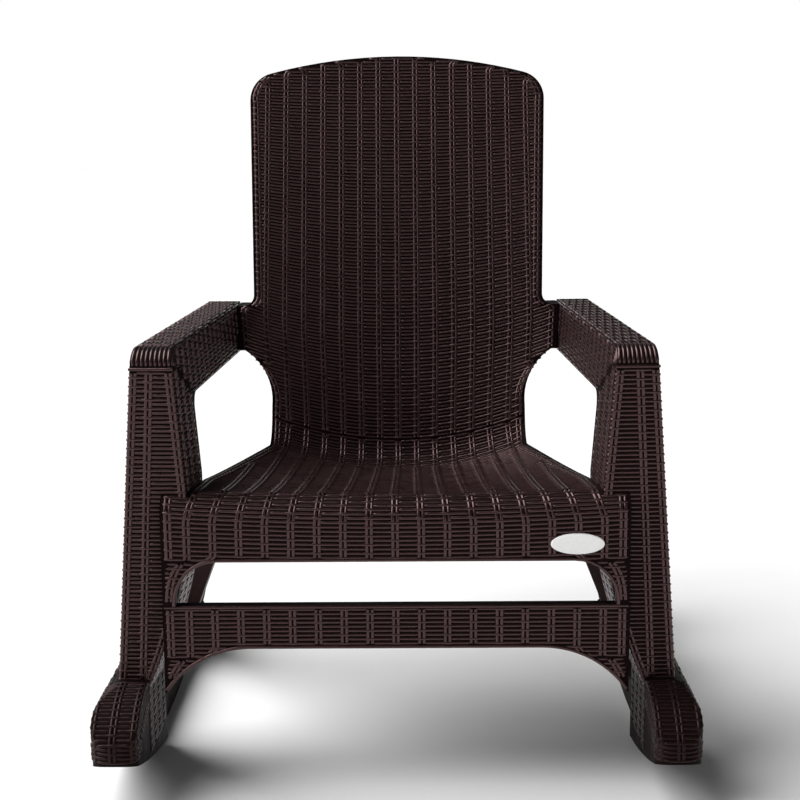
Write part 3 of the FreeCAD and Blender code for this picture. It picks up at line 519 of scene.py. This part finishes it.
# The side frames. The crest is the leg's front and the arm's top.
# The leg's rows wrap round it, the arm's rows run along it.

CREST_ARC = ARM_CORNER * math.pi / 2
CREST_START = FOOT_HEIGHT - (ARM_TOP - ARM_CORNER)
CREST_END = CREST_ARC + ARM_LENGTH - ARM_CORNER
MITRE = (LEG_DEPTH - ARM_CORNER) / (ARM_DEPTH - ARM_CORNER)
CORNER_BLEND = 4 * MM
FRONT_STAKE_OUTER = 4.5 * MM
FRONT_STAKE_MIDDLE = 23 * MM
FRONT_STAKE_SPREAD = 8 * MM
FRONT_STAKE_INNER = 5 * MM
WALL_STAKES = (18 * MM, 52 * MM, 86 * MM)
FOOT_MARGIN = 4 * MM
ARM_STAKE_START = CREST_ARC + 16 * MM
ARM_ROW_START = 3 * MM
CORNER_MARGIN = 2 * MM
BEAD_CROWN = 2.2 * MM


def leg_outer(z):
    return FOOT_OUTER + (z - FOOT_HEIGHT) * (ARM_HALF - FOOT_OUTER) / (ARM_TOP - FOOT_HEIGHT)


def leg_inner(z):
    """Place of the inner wall: it swells inward from the arm to the seat, then bows out to the foot."""
    above = -arm_inner(z)
    across = FOOT_INNER + arm_inner(SEAT_HEIGHT)
    drop = SEAT_HEIGHT - FOOT_HEIGHT
    chord = math.hypot(across, drop)
    radius = chord ** 2 / (8 * LEG_BOW) + LEG_BOW / 2
    stand_off = radius - LEG_BOW
    centre_x = FOOT_INNER - across / 2 + stand_off * drop / chord
    centre_z = FOOT_HEIGHT + drop / 2 + stand_off * across / chord
    below = centre_x - np.sqrt(np.clip(radius ** 2 - (z - centre_z) ** 2, 0, None))
    return np.where(z > SEAT_HEIGHT, above, below)


def crest(row):
    """Place along and up of the crest at a row, and the direction out of it."""
    if row < 0:
        return 0.0, ARM_TOP - ARM_CORNER + row, (-1.0, 0.0)
    if row < CREST_ARC:
        turn = row / ARM_CORNER
        out = (-math.cos(turn), math.sin(turn))
        return ARM_CORNER + ARM_CORNER * out[0], ARM_TOP - ARM_CORNER + ARM_CORNER * out[1], out
    return ARM_CORNER + row - CREST_ARC, ARM_TOP, (0.0, 1.0)


def crest_width(row):
    _, z, _ = crest(row)
    return float(leg_outer(z) - leg_inner(z))


def wall_depth(row):
    """How far a leg row runs back along the walls: it meets the arm's rows along a mitre."""
    return min(LEG_DEPTH, ARM_CORNER - row * MITRE)


def smooth_step(value):
    share = np.clip(value, 0, 1)
    return share * share * (3 - 2 * share)


def frame_surface(side):
    """The wrapped face of the right (1) or left (-1) side frame."""

    def surface(places, row):
        places = np.asarray(places, float)
        along, up, out = crest(row)
        width = crest_width(row)
        depth = np.where(places < 0, -places, np.clip(places - width, 0, None))
        y = along - out[0] * depth
        z = up - out[1] * depth
        on_crest = leg_outer(up) - np.clip(places, 0, width)
        x = np.where(places < 0, leg_outer(z), np.where(places > width, leg_inner(z), on_crest))
        first = smooth_step((places + CORNER_BLEND) / (2 * CORNER_BLEND))
        second = smooth_step((places - width + CORNER_BLEND) / (2 * CORNER_BLEND))
        turn = (first + second) * math.pi / 2
        normal_x = np.cos(turn)
        lean = np.sin(turn)
        normal = np.stack([normal_x, lean * out[0], lean * out[1]], axis=-1)
        turn_x = x * math.cos(TOE) - y * math.sin(TOE)
        turn_y = x * math.sin(TOE) + y * math.cos(TOE)
        points = np.stack([side * (FRAME_HALF + turn_x), FRONT + turn_y, z], axis=-1)
        toed_x = normal[:, 0] * math.cos(TOE) - normal[:, 1] * math.sin(TOE)
        toed_y = normal[:, 0] * math.sin(TOE) + normal[:, 1] * math.cos(TOE)
        return points, np.stack([side * toed_x, toed_y, normal[:, 2]], axis=-1)

    return surface


# Between these heights the apron and the stretcher cover the inner part of the leg's front.
COVER_LOW = 196 * MM
COVER_HIGH = 364 * MM


def leg_runs(row):
    depth = wall_depth(row) - RUN_MARGIN
    width = crest_width(row)
    _, z, _ = crest(row)
    covered_from = float(leg_outer(z)) + FRAME_HALF - APRON_HALF + EDGE_INSET
    if COVER_LOW < z < COVER_HIGH and covered_from < width:
        return [(-depth, covered_from), (width + MM, width + depth)]
    return [(-depth, width + depth)]


def leg_columns(row, start, end):
    width = crest_width(row)
    _, z, _ = crest(row)
    down = (ARM_TOP - z) / (ARM_TOP - FOOT_HEIGHT)
    middle = FRONT_STAKE_MIDDLE + FRONT_STAKE_SPREAD * down
    columns = [(0, FRONT_STAKE_OUTER), (1, middle), (2, width - FRONT_STAKE_INNER)]
    for number, depth in enumerate(WALL_STAKES, start=1):
        columns.append((-number, -depth))
        columns.append((2 + number, width + depth))
    clear = 2 * STRAND_HALF
    return [column for column in columns if start + clear < column[1] < end - clear]


def leg_extra(row):
    """More places where a row turns the crest's two corners."""
    width = crest_width(row)
    turn = np.linspace(-CORNER_BLEND, CORNER_BLEND, 5)
    return np.concatenate([turn, width + turn])


def arm_surface(side):
    """The arm's face for its own rows: a row is a place round the section, a place lies along the arm."""
    across = frame_surface(side)

    def surface(places, row):
        zone, value = row
        points = []
        normals = []
        for place in places:
            width = crest_width(place)
            around = {"outer": -value, "top": value * width, "inner": width + value}[zone]
            point, normal = across(np.array([around]), place)
            points.append(point[0])
            normals.append(normal[0])
        return np.array(points), np.array(normals)

    return surface


def arm_rows():
    """Rows up the outer wall, over the top and down the inner wall."""
    wall = np.arange(ROW_PITCH / 2, ARM_DEPTH - RUN_MARGIN, ROW_PITCH)
    count = round(2 * ARM_HALF / ROW_PITCH)
    top = (np.arange(count) + 0.5) / count
    outer = [("outer", float(depth)) for depth in wall[::-1]]
    return outer + [("top", float(share)) for share in top] + [("inner", float(depth)) for depth in wall]


def arm_runs(row):
    """A top row starts in the front corner, a wall row at the mitre with the leg's rows."""
    zone, value = row
    start = ARM_ROW_START
    if zone != "top" and value > ARM_CORNER - CORNER_MARGIN:
        start = CREST_ARC + (value - ARM_CORNER) * MITRE
    return [(max(start, ARM_ROW_START), CREST_END - RUN_MARGIN)]


def arm_columns(row, start, end):
    places = np.arange(ARM_STAKE_START, CREST_END, STAKE_PITCH)
    inside = (places > start + EDGE_INSET) & (places < end - EDGE_INSET)
    return [(int(i), places[i]) for i in np.flatnonzero(inside)]


def arm_extra(row):
    """More places through the front corner."""
    return np.linspace(0.0, CREST_ARC, 9)


def add_corner_bead(bundle, side):
    """A half-round bead across the leg's front, where the arm's rows end."""
    places = np.linspace(0.0, crest_width(0.0), 12)
    points, normals = frame_surface(side)(places, 0.0)
    bundle.add(points, normals, np.full(len(places), BEAD_CROWN), STRAND_HALF)


def build_frame_weave(name, side, material):
    strands = Bundle()
    stakes = Bundle()
    leg_rows = list(np.arange(CREST_START + FOOT_MARGIN, -STRAND_HALF, ROW_PITCH))
    weave(strands, stakes, frame_surface(side), leg_rows, leg_runs, leg_columns, leg_extra)
    weave(strands, stakes, arm_surface(side), arm_rows(), arm_runs, arm_columns, arm_extra)
    add_corner_bead(strands, side)
    strands.build(name + "_weave", material)
    stakes.build(name + "_weave_stakes", material)


# The boots: rows cross the instep and run down both sides, on the solid itself.

BOOT_MIDDLE = 340.5 * MM
BOOT_INNER = 312 * MM
BOOT_OUTER = rocker_high.x
TOE_END = rocker_low.y
TOE_BOTTOM = 67 * MM
TOE_TIP = 90 * MM
BOOT_TOP = rocker_high.z
BOOT_LIP = FRONT - 10 * MM
INSTEP_BOW = 14 * MM
BOOT_SIDE = 42 * MM
BOOT_STAKE_PITCH = 26 * MM
BOOT_WALL_STAKES = 4
WALL_STEP = 4 * MM
INSTEP_STEP = 3 * MM
CORNER_SKIP = 2 * MM
SAME_PLACE = 0.5 * MM


def boot_profile(distance):
    """Place along and up the boot's upper line, and the direction out of it."""
    toe_rise = TOE_TIP - TOE_BOTTOM
    if distance < toe_rise:
        return TOE_END, TOE_BOTTOM + distance, (-1.0, 0.0)
    run = BOOT_LIP - TOE_END
    rise = BOOT_TOP - TOE_TIP
    chord = math.hypot(run, rise)
    share = min((distance - toe_rise) / chord, 1.0)
    bow = 4 * INSTEP_BOW * share * (1 - share)
    slope = math.atan2(rise, run) + math.atan2(4 * INSTEP_BOW * (1 - 2 * share), chord)
    y = TOE_END + share * run - bow * rise / chord
    z = TOE_TIP + share * rise + bow * run / chord
    return y, z, (-math.sin(slope), math.cos(slope))


def boot_hits(solid, distance):
    """Where a row meets the right boot: up its outer wall, over the instep and down its inner wall."""
    y, z, out = boot_profile(distance)
    upper = Vector((0.0, y, z))
    outward = Vector((0.0, out[0], out[1]))
    inward = Vector((-1, 0, 0))
    outside = Vector((BOOT_OUTER + BOOT_SIDE, 0, 0))
    inside = Vector((BOOT_INNER - BOOT_SIDE, 0, 0))
    reach = 2 * BOOT_SIDE
    hits = []
    for depth in np.arange(BOOT_SIDE, CORNER_SKIP, -WALL_STEP):
        hits.append(solid.ray_cast(upper - outward * depth + outside, inward, reach))
    for across in np.arange(BOOT_OUTER - CORNER_SKIP, BOOT_INNER, -INSTEP_STEP):
        hits.append(solid.ray_cast(upper + outward * BOOT_SIDE + Vector((across, 0, 0)), -outward, reach))
    for depth in np.arange(CORNER_SKIP, BOOT_SIDE, WALL_STEP):
        hits.append(solid.ray_cast(upper - outward * depth + inside, -inward, reach))
    return [hit for hit in hits if hit[0] is not None]


def boot_paths(node):
    """For each row, the line where it crosses the right boot, found on the solid."""
    solid = BVHTree.FromObject(nodes[node], bpy.context.evaluated_depsgraph_get())
    length = TOE_TIP - TOE_BOTTOM + math.hypot(BOOT_LIP - TOE_END, BOOT_TOP - TOE_TIP)
    paths = {}
    for distance in np.arange(ROW_PITCH / 2, length, ROW_PITCH):
        hits = boot_hits(solid, distance)
        points = np.array([hit[0] for hit in hits])
        normals = np.array([hit[1] for hit in hits])
        steps = np.linalg.norm(np.diff(points, axis=0), axis=1)
        keep = np.concatenate([[True], steps > SAME_PLACE])
        points = points[keep]
        normals = normals[keep]
        for _ in range(2):
            normals[1:-1] = (normals[:-2] + 2 * normals[1:-1] + normals[2:]) / 4
        normals /= np.linalg.norm(normals, axis=1, keepdims=True)
        along = np.concatenate([[0.0], np.cumsum(np.linalg.norm(np.diff(points, axis=0), axis=1))])
        middle = np.interp(-BOOT_MIDDLE, -points[:, 0], along)
        paths[float(distance)] = (along - middle, points, normals)
    return paths


BOOT_HEEL = FRONT + LEG_DEPTH + 4 * MM
ROCKER_RADIUS = 1050 * MM


def add_boot_sides(strands, stakes, node, side):
    """Level rows along the boot's inner and outer walls, beside the leg."""
    solid = BVHTree.FromObject(nodes[node], bpy.context.evaluated_depsgraph_get())
    mirror = np.array([side, 1.0, 1.0])
    bottom = ROCKER_RADIUS - math.sqrt(ROCKER_RADIUS ** 2 - BOOT_LIP ** 2)

    def wall(facing):
        start = BOOT_OUTER + BOOT_SIDE if facing > 0 else BOOT_INNER - BOOT_SIDE

        def surface(places, z):
            hits = [solid.ray_cast(Vector((start, place, z)), Vector((-facing, 0, 0))) for place in places]
            points = np.array([hit[0] for hit in hits])
            normals = np.array([hit[1] for hit in hits])
            return points * mirror, normals * mirror

        return surface

    def runs(z):
        return [(BOOT_LIP + MM, BOOT_HEEL - MM)]

    def columns(z, start, end):
        return [(index, BOOT_LIP + EDGE_INSET + index * STAKE_PITCH) for index in range(BOOT_WALL_STAKES)]

    rows = list(np.arange(BOOT_TOP - ROW_PITCH, bottom + ROW_PITCH / 2, -ROW_PITCH))
    for facing in (1, -1):
        weave(strands, stakes, wall(facing), rows, runs, columns)


def build_boot_weave(name, side, paths, material):
    def surface(places, row):
        along, points, normals = paths[row]
        found = np.stack([np.interp(places, along, points[:, i]) for i in range(3)], axis=-1)
        facing = np.stack([np.interp(places, along, normals[:, i]) for i in range(3)], axis=-1)
        facing /= np.linalg.norm(facing, axis=1, keepdims=True)
        mirror = np.array([side, 1.0, 1.0])
        return found * mirror, facing * mirror

    def runs(row):
        along = paths[row][0]
        return [(along[0] + RUN_MARGIN, along[-1] - RUN_MARGIN)]

    def columns(row, start, end):
        return spread_columns(BOOT_STAKE_PITCH, start, end)

    strands = Bundle()
    stakes = Bundle()
    weave(strands, stakes, surface, sorted(paths), runs, columns, lambda row: paths[row][0])
    add_boot_sides(strands, stakes, "right_rocker", side)
    strands.build(name + "_weave", material)
    stakes.build(name + "_weave_stakes", material)


# Smooth rims along the slot and the stretcher's edges.

RIM_HALF = 2.2 * MM
RIM_CROWN = 2.0 * MM
RIM_STEPS = 40


def build_rims(material):
    rims = Bundle()
    turn = np.linspace(0, math.pi / 2, 9)
    inset = RIM_HALF
    corner = SLOT_CORNER + inset
    right_x = SLOT_HALF - SLOT_CORNER + corner * np.sin(turn)
    right_z = SLOT_TOP - SLOT_CORNER + corner * np.cos(turn)
    level_x = np.linspace(0, SLOT_HALF - SLOT_CORNER, 8)[:-1]
    half_x = np.concatenate([level_x, right_x, [SLOT_HALF + inset]])
    half_z = np.concatenate([np.full(len(level_x), SLOT_TOP + inset), right_z, [APRON_BOTTOM]])
    add_face_rim(rims, half_x, half_z, APRON_FACE)
    stretch = np.linspace(0, STRETCHER_HALF - inset, RIM_STEPS)
    add_face_rim(rims, stretch, np.full(RIM_STEPS, STRETCHER_TOP - inset), STRETCHER_FACE)
    add_face_rim(rims, stretch, stretcher_bottom(stretch) + inset, STRETCHER_FACE)
    rims.build("edge_rims", material)


def add_face_rim(rims, half_x, half_z, face):
    """A rim on a front face, given by its right half from the middle outward."""
    x = np.concatenate([-half_x[:0:-1], half_x])
    z = np.concatenate([half_z[:0:-1], half_z])
    points = np.stack([x, np.full_like(x, face), z], axis=-1)
    normals = np.tile(np.array([0.0, -1.0, 0.0]), (len(x), 1))
    rims.add(points, normals, np.full(len(x), RIM_CROWN), RIM_HALF)


# Label: a blank oval plate with a rounded edge.
# Each ring has its share of the half height and of the thickness.

LABEL_RINGS = ((1.0, 0.0), (1.0, 0.6), (0.985, 0.85), (0.95, 1.0), (0.9, 1.04), (0.6, 1.08), (0.3, 1.1))
LABEL_SIDES = 64


def build_label(material):
    middle = (label_low + label_high) / 2
    half_width = (label_high.x - label_low.x) / 2
    half_height = (label_high.z - label_low.z) / 2
    thickness = label_high.y - label_low.y + STRAND_OVER
    corners = []
    for share, rise in LABEL_RINGS:
        inset = (1 - share) * half_height
        for i in range(LABEL_SIDES):
            angle = 2 * math.pi * i / LABEL_SIDES
            corners.append((middle.x + (half_width - inset) * math.cos(angle),
                            label_high.y - rise * thickness,
                            middle.z + (half_height - inset) * math.sin(angle)))
    faces = []
    for ring in range(len(LABEL_RINGS) - 1):
        low = ring * LABEL_SIDES
        high = low + LABEL_SIDES
        for i in range(LABEL_SIDES):
            after = (i + 1) % LABEL_SIDES
            faces.append((low + i, low + after, high + after, high + i))
    faces.append([(len(LABEL_RINGS) - 1) * LABEL_SIDES + i for i in range(LABEL_SIDES)])
    mesh = bpy.data.meshes.new("label_plate")
    mesh.from_pydata(corners, [], faces)
    mesh.shade_smooth()
    piece = place_piece("label_plate", mesh, material)
    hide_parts("apron_label")


# Materials. Noise mostly lies between these two levels.

NOISE_LOW = 0.3
NOISE_HIGH = 0.7


def grey(level):
    return (level, level, level)


def new_material(name):
    material = bpy.data.materials.new(name)
    material.use_nodes = True
    tree = material.node_tree
    shader = tree.nodes["Principled BSDF"]
    place = tree.nodes.new("ShaderNodeTexCoord")
    return material, tree, shader, place.outputs["Object"]


def noise(tree, place, scale, detail):
    node = tree.nodes.new("ShaderNodeTexNoise")
    node.inputs["Scale"].default_value = scale
    node.inputs["Detail"].default_value = detail
    tree.links.new(place, node.inputs["Vector"])
    return node.outputs["Fac"]


def ramp(tree, factor, stops):
    node = tree.nodes.new("ShaderNodeValToRGB")
    elements = node.color_ramp.elements
    while len(elements) < len(stops):
        elements.new(0.5)
    for element, (position, colour) in zip(elements, stops):
        element.position = position
        element.color = (*colour, 1.0)
    tree.links.new(factor, node.inputs["Fac"])
    return node.outputs["Color"]


def spread(tree, factor, low, high):
    node = tree.nodes.new("ShaderNodeMapRange")
    node.inputs["From Min"].default_value = NOISE_LOW
    node.inputs["From Max"].default_value = NOISE_HIGH
    node.inputs["To Min"].default_value = low
    node.inputs["To Max"].default_value = high
    tree.links.new(factor, node.inputs["Value"])
    return node.outputs["Result"]


def coat(tree, shader, colour_noise, dark, light, gloss_noise, rough_low, rough_high):
    """Colour and roughness that vary with noise."""
    colour = ramp(tree, colour_noise, [(NOISE_LOW, dark), (NOISE_HIGH, light)])
    tree.links.new(colour, shader.inputs["Base Color"])
    tree.links.new(spread(tree, gloss_noise, rough_low, rough_high), shader.inputs["Roughness"])


def relief(tree, shader, height, strength, distance):
    node = tree.nodes.new("ShaderNodeBump")
    node.inputs["Strength"].default_value = strength
    node.inputs["Distance"].default_value = distance
    tree.links.new(height, node.inputs["Height"])
    tree.links.new(node.outputs["Normal"], shader.inputs["Normal"])


def plastic(name, dark, light, rough_low, rough_high, gloss):
    """Moulded plastic: slight mottling, uneven gloss and a fine orange-peel relief."""
    material, tree, shader, place = new_material(name)
    mottle = noise(tree, place, 90.0, 4.0)
    coat(tree, shader, mottle, dark, light, noise(tree, place, 35.0, 3.0), rough_low, rough_high)
    relief(tree, shader, noise(tree, place, 1400.0, 2.0), 0.12, 0.0004)
    shader.inputs["IOR"].default_value = 1.5
    shader.inputs["Specular IOR Level"].default_value = gloss
    shader.inputs["Specular Tint"].default_value = (1.0, 0.64, 0.63, 1.0)
    return material


def screw_steel(name):
    material, tree, shader, place = new_material(name)
    tone = noise(tree, place, 500.0, 3.0)
    coat(tree, shader, tone, (0.42, 0.42, 0.43), (0.6, 0.6, 0.61), tone, 0.25, 0.4)
    shader.inputs["Metallic"].default_value = 1.0
    return material


def label_white(name):
    material, tree, shader, place = new_material(name)
    tone = noise(tree, place, 250.0, 3.0)
    coat(tree, shader, tone, (0.88, 0.88, 0.87), (0.93, 0.93, 0.92), tone, 0.3, 0.4)
    return material


def floor_material(name):
    material, tree, shader, place = new_material(name)
    tone = noise(tree, place, 3.0, 3.0)
    coat(tree, shader, tone, grey(0.86), grey(0.88), tone, 0.75, 0.85)
    return material


# Studio: floor, light and camera.

def build_floor(material):
    half = 40.0
    mesh = bpy.data.meshes.new("floor")
    corners = [(-half, -half, 0), (half, -half, 0), (half, half, 0), (-half, half, 0)]
    mesh.from_pydata(corners, [], [(0, 1, 2, 3)])
    floor = bpy.data.objects.new("floor", mesh)
    bpy.context.scene.collection.objects.link(floor)
    mesh.materials.append(material)


def build_world():
    """Pale all round the horizon and dim overhead."""
    world = bpy.data.worlds.new("studio")
    world.use_nodes = True
    tree = world.node_tree
    place = tree.nodes.new("ShaderNodeTexCoord")
    split = tree.nodes.new("ShaderNodeSeparateXYZ")
    tree.links.new(place.outputs["Generated"], split.inputs["Vector"])
    shade = ramp(tree, split.outputs["Z"], [(0.10, grey(1.0)), (0.25, grey(0.07))])
    tree.links.new(shade, tree.nodes["Background"].inputs["Color"])
    bpy.context.scene.world = world


def build_lights():
    """A wide soft sun from the upper left whitens the floor."""
    sun = bpy.data.lights.new("top_light", "SUN")
    sun.energy = 5.0
    sun.angle = math.radians(60)
    lamp = bpy.data.objects.new("top_light", sun)
    lamp.rotation_euler = (math.radians(-4), math.radians(-42), 0.0)
    bpy.context.scene.collection.objects.link(lamp)


# The camera stands where the photo's perspective puts it.
CAMERA_PLACE = Vector((25 * MM, FRONT - 1737 * MM, 803 * MM))
CAMERA_PITCH = math.radians(10.13)
CAMERA_YAW = math.radians(0.59)
CAMERA_ROLL = math.radians(0.47)
FRAME_PIXELS = 800
FOCAL_PIXELS = 1454


def build_camera():
    data = bpy.data.cameras.new("photo_camera")
    data.sensor_fit = "HORIZONTAL"
    data.sensor_width = 36.0
    data.lens = data.sensor_width * FOCAL_PIXELS / FRAME_PIXELS
    camera = bpy.data.objects.new("photo_camera", data)
    turn = Matrix.Rotation(CAMERA_YAW, 4, "Z") @ Matrix.Rotation(math.pi / 2 - CAMERA_PITCH, 4, "X")
    camera.matrix_world = Matrix.Translation(CAMERA_PLACE) @ turn @ Matrix.Rotation(-CAMERA_ROLL, 4, "Z")
    bpy.context.scene.collection.objects.link(camera)
    bpy.context.scene.camera = camera


def dress_node(name, material):
    mesh = nodes[name].data
    mesh.materials.clear()
    mesh.materials.append(material)


def main():
    woven = plastic("woven_plastic", (0.010, 0.004, 0.004), (0.017, 0.007, 0.007), 0.24, 0.36, 0.75)
    # The ground plastic is far darker than the strands: painted shade, so the gaps between the strands read
    # dark.
    painted_shade_ground = plastic("painted_shade_ground_plastic", (0.004, 0.002, 0.002), (0.006, 0.003, 0.003), 0.5, 0.65, 0.05)
    boot_plastic = plastic("boot_plastic", (0.006, 0.0026, 0.0026), (0.010, 0.0044, 0.0044), 0.36, 0.5, 0.2)
    smooth = plastic("smooth_plastic", (0.018, 0.010, 0.009), (0.026, 0.014, 0.013), 0.42, 0.55, 0.2)
    steel = screw_steel("screw_steel")
    white = label_white("label_white")

    # The bare solids under the weave get the dark ground plastic, which paints shade into the gaps between
    # the strands.
    for name in ("seat_shell", "left_side_frame", "right_side_frame", "front_stretcher"):
        dress_node(name, painted_shade_ground)
    for side in ("left", "right"):
        dress_node(side + "_rear_leg", smooth)
        dress_node(side + "_rocker", painted_shade_ground)
    for name in nodes:
        if name.endswith("_screws"):
            dress_node(name, steel)

    build_shell_weave(woven)
    build_stretcher_weave(woven)
    boot = boot_paths("right_rocker")
    for side_name, side in (("right", 1), ("left", -1)):
        build_frame_weave(side_name + "_frame", side, woven)
        build_boot_weave(side_name + "_boot", side, boot, boot_plastic)
    build_rims(woven)
    build_label(white)

    build_floor(floor_material("pale_floor"))
    build_world()
    build_lights()
    build_camera()
    bpy.context.scene.view_settings.view_transform = "Standard"


main()
